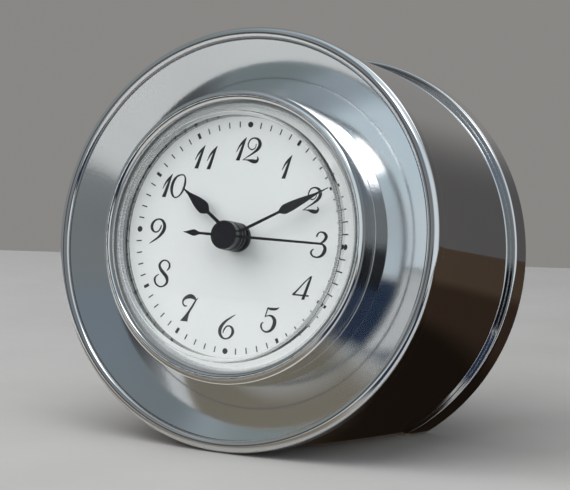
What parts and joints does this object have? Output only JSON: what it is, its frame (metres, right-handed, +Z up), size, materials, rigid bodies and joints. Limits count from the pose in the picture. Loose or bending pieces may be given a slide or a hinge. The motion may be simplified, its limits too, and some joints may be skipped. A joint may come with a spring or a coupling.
{
  "type": "drum desk clock",
  "caption": "Drum-shaped desk clock: a leaning polished metal drum with a dished front and a push-in quartz clock insert with Arabic figures.",
  "frame": {"origin": "middle of the flat base, between the front rim's and the rear flange's contact with the table", "axes": "+Z up, -Y out of the front, +X to the viewer's right; the dial leans back 9.7 degrees"},
  "size_m": [0.105, 0.0774, 0.1037],
  "materials": {
    "polished_face": "satin polished, slightly rippled",
    "polished_case": "mirror polished",
    "bezel_chrome": "mirror polished",
    "steel": "plain",
    "felt": "felt",
    "crystal": "clear moulded acrylic, gloss",
    "reflector_plastic": "silvered, finely serrated",
    "dial_white": "matt white print",
    "black_plastic": "moulded",
    "grey_plastic": "moulded",
    "gear_plastic": "moulded acetal",
    "soft_band": "moulded",
    "brass": "plain",
    "copper": "enamelled copper wire",
    "magnet": "sintered magnet, stands for the whole rotor",
    "board": "solder mask",
    "resin": "resin drop",
    "hand_black": "gloss black"
  },
  "bodies": {
    "case": {"front_dish": "polished_face", "drum_shell": "polished_case", "rear_flange": "polished_case", "back_cover": "polished_case", "back_cover_screws": "steel", "base_plate": "steel", "felt_pad": "felt", "insert_sleeve": "polished_case"},
    "insert": {"bezel": "bezel_chrome", "crystal": "crystal", "reflector_ring": "reflector_plastic", "dial": "dial_white", "insert_cup": "black_plastic", "friction_ring": "soft_band", "hand_bush": "steel", "movement_plate": "grey_plastic", "movement_bridge": "grey_plastic", "movement_housing": "black_plastic", "movement_screws": "steel", "coil_bobbin": "gear_plastic", "coil_winding": "copper", "stator": "steel", "circuit_board": "board", "quartz_can": "steel", "chip_cap": "resin", "battery": "steel", "battery_contact_minus": "brass", "battery_contact_plus": "brass"},
    "battery_door": {"battery_cover": "black_plastic"},
    "seconds_train": {"seconds_wheel": "steel", "second_hand": "hand_black", "hand_cap": "hand_black"},
    "minute_train": {"cannon_pinion": "gear_plastic", "minute_hand": "hand_black"},
    "hour_train": {"hour_wheel": "gear_plastic", "hour_hand": "hand_black"},
    "setting": {"motion_wheel": "gear_plastic", "setting_knob": "black_plastic"},
    "centre": {"centre_wheel": "gear_plastic"},
    "third": {"third_wheel": "gear_plastic"},
    "intermediate": {"intermediate_wheel": "gear_plastic"},
    "stepper": {"rotor": "magnet"}
  },
  "joints": [
    {"name": "insert_pull", "type": "slide", "parent": "case", "child": "insert", "axis": [0, -0.9857, 0.1685], "range_m": [0, 0.03]},
    {"name": "battery_cover_pull", "type": "slide", "parent": "insert", "child": "battery_door", "axis": [0, 0.9857, -0.1685], "range_m": [0, 0.008]},
    {"name": "seconds_spin", "type": "hinge", "parent": "insert", "child": "seconds_train", "pos_m": [0, -0.02216, 0.05227], "axis": [0, -0.9857, 0.1685], "continuous": true},
    {"name": "minute_spin", "type": "hinge", "parent": "insert", "child": "minute_train", "pos_m": [0, -0.02216, 0.05227], "axis": [0, -0.9857, 0.1685], "continuous": true},
    {"name": "hour_spin", "type": "hinge", "parent": "insert", "child": "hour_train", "pos_m": [0, -0.02216, 0.05227], "axis": [0, -0.9857, 0.1685], "continuous": true},
    {"name": "setting_knob_turn", "type": "hinge", "parent": "insert", "child": "setting", "pos_m": [0.00902, -0.02271, 0.04904], "axis": [0, -0.9857, 0.1685], "continuous": true},
    {"name": "centre_wheel_spin", "type": "hinge", "parent": "insert", "child": "centre", "pos_m": [0, -0.02216, 0.05227], "axis": [0, -0.9857, 0.1685], "continuous": true},
    {"name": "third_wheel_spin", "type": "hinge", "parent": "insert", "child": "third", "pos_m": [0, -0.02064, 0.06114], "axis": [0, -0.9857, 0.1685], "continuous": true},
    {"name": "intermediate_wheel_spin", "type": "hinge", "parent": "insert", "child": "intermediate", "pos_m": [0, -0.02337, 0.04517], "axis": [0, -0.9857, 0.1685], "continuous": true},
    {"name": "rotor_spin", "type": "hinge", "parent": "insert", "child": "stepper", "pos_m": [-0.00589, -0.02395, 0.04182], "axis": [0, -0.9857, 0.1685], "continuous": true}
  ],
  "couplings": [
    {"joint": "intermediate_wheel_spin", "follows": "seconds_spin", "ratio": -4},
    {"joint": "rotor_spin", "follows": "seconds_spin", "ratio": 30},
    {"joint": "third_wheel_spin", "follows": "seconds_spin", "ratio": -0.13333},
    {"joint": "centre_wheel_spin", "follows": "seconds_spin", "ratio": 0.016667},
    {"joint": "setting_knob_turn", "follows": "minute_spin", "ratio": -0.33333},
    {"joint": "hour_spin", "follows": "minute_spin", "ratio": 0.083333}
  ]
}
